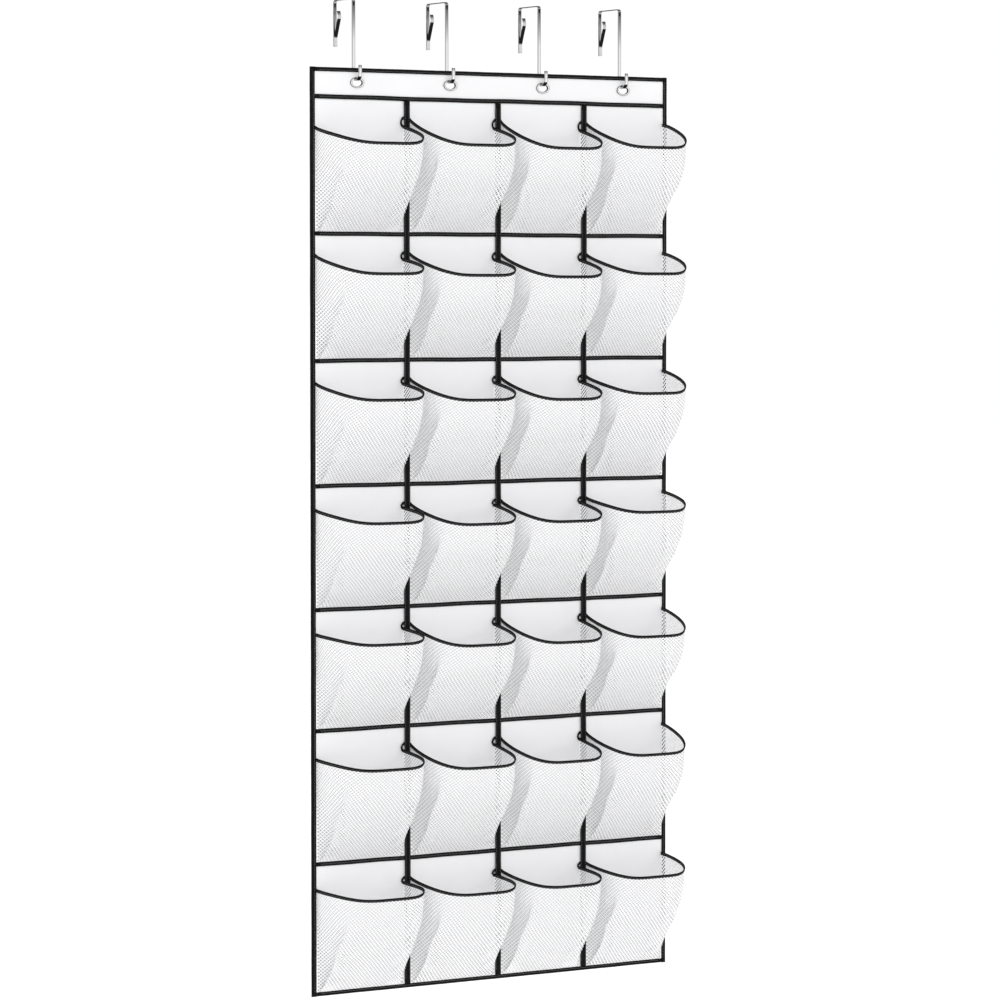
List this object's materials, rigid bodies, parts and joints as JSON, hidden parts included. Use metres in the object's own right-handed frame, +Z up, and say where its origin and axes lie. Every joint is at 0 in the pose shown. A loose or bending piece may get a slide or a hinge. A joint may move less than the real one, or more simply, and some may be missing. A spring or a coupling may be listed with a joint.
{
  "type": "over-the-door shoe organizer",
  "caption": "Over-the-door shoe organizer: a white cloth panel with rows of mesh pockets and black tape trim, hung on bent strip hooks through eyelets.",
  "frame": {"origin": "middle of the door's top edge, where the undersides of the four hook bridges rest; the object hangs from it", "axes": "+Z up, +X to the right seen from the front, pockets towards -Y and the door behind the panel towards +Y"},
  "size_m": [0.64, 0.1446, 1.4891],
  "materials": {
    "hook_chrome": "polished chrome-plated steel strip",
    "eyelet_chrome": "nickel-plated rolled ring",
    "backing_cloth": "white non-woven cloth, matt",
    "pocket_net": "white knitted mesh with small staggered holes",
    "black_tape": "black woven bias tape, faint sheen, stitched"
  },
  "bodies": {
    "hook_1": {"hook_1": "hook_chrome"},
    "panel": {"eyelet_1": "eyelet_chrome", "eyelet_2": "eyelet_chrome", "eyelet_3": "eyelet_chrome", "eyelet_4": "eyelet_chrome", "header_panel": "backing_cloth", "back_panel": "backing_cloth", "binding_left": "black_tape", "binding_right": "black_tape", "binding_bottom": "black_tape", "binding_top": "black_tape", "row_tape_1": "black_tape", "row_tape_2": "black_tape", "row_tape_3": "black_tape", "row_tape_4": "black_tape", "row_tape_5": "black_tape", "row_tape_6": "black_tape", "row_tape_7": "black_tape", "column_tape_1": "black_tape", "column_tape_2": "black_tape", "column_tape_3": "black_tape", "mouth_trim_1": "black_tape", "mouth_trim_2": "black_tape", "mouth_trim_3": "black_tape", "mouth_trim_4": "black_tape", "mouth_trim_5": "black_tape", "mouth_trim_6": "black_tape", "mouth_trim_7": "black_tape", "pocket_r1_c1": "pocket_net", "pocket_r1_c2": "pocket_net", "pocket_r1_c3": "pocket_net", "pocket_r1_c4": "pocket_net", "pocket_r2_c1": "pocket_net", "pocket_r2_c2": "pocket_net", "pocket_r2_c3": "pocket_net", "pocket_r2_c4": "pocket_net", "pocket_r3_c1": "pocket_net", "pocket_r3_c2": "pocket_net", "pocket_r3_c3": "pocket_net", "pocket_r3_c4": "pocket_net", "pocket_r4_c1": "pocket_net", "pocket_r4_c2": "pocket_net", "pocket_r4_c3": "pocket_net", "pocket_r4_c4": "pocket_net", "pocket_r5_c1": "pocket_net", "pocket_r5_c2": "pocket_net", "pocket_r5_c3": "pocket_net", "pocket_r5_c4": "pocket_net", "pocket_r6_c1": "pocket_net", "pocket_r6_c2": "pocket_net", "pocket_r6_c3": "pocket_net", "pocket_r6_c4": "pocket_net", "pocket_r7_c1": "pocket_net", "pocket_r7_c2": "pocket_net", "pocket_r7_c3": "pocket_net", "pocket_r7_c4": "pocket_net"},
    "hook_2": {"hook_2": "hook_chrome"},
    "hook_3": {"hook_3": "hook_chrome"},
    "hook_4": {"hook_4": "hook_chrome"}
  },
  "joints": [
    {"name": "panel_swing", "type": "hinge", "parent": "hook_1", "child": "panel", "pos_m": [0, -0.03725, -0.1202], "axis": [-1, 0, 0], "range_deg": [0, 20]},
    {"name": "hook_2_pivot", "type": "hinge", "parent": "panel", "child": "hook_2", "pos_m": [-0.076, -0.03725, -0.1202], "axis": [1, 0, 0], "range_deg": [0, 20]},
    {"name": "hook_3_pivot", "type": "hinge", "parent": "panel", "child": "hook_3", "pos_m": [0.09, -0.03725, -0.1202], "axis": [1, 0, 0], "range_deg": [0, 20]},
    {"name": "hook_4_pivot", "type": "hinge", "parent": "panel", "child": "hook_4", "pos_m": [0.238, -0.03725, -0.1202], "axis": [1, 0, 0], "range_deg": [0, 20]}
  ],
  "couplings": [
    {"joint": "hook_2_pivot", "follows": "panel_swing", "ratio": 1},
    {"joint": "hook_3_pivot", "follows": "panel_swing", "ratio": 1},
    {"joint": "hook_4_pivot", "follows": "panel_swing", "ratio": 1}
  ]
}
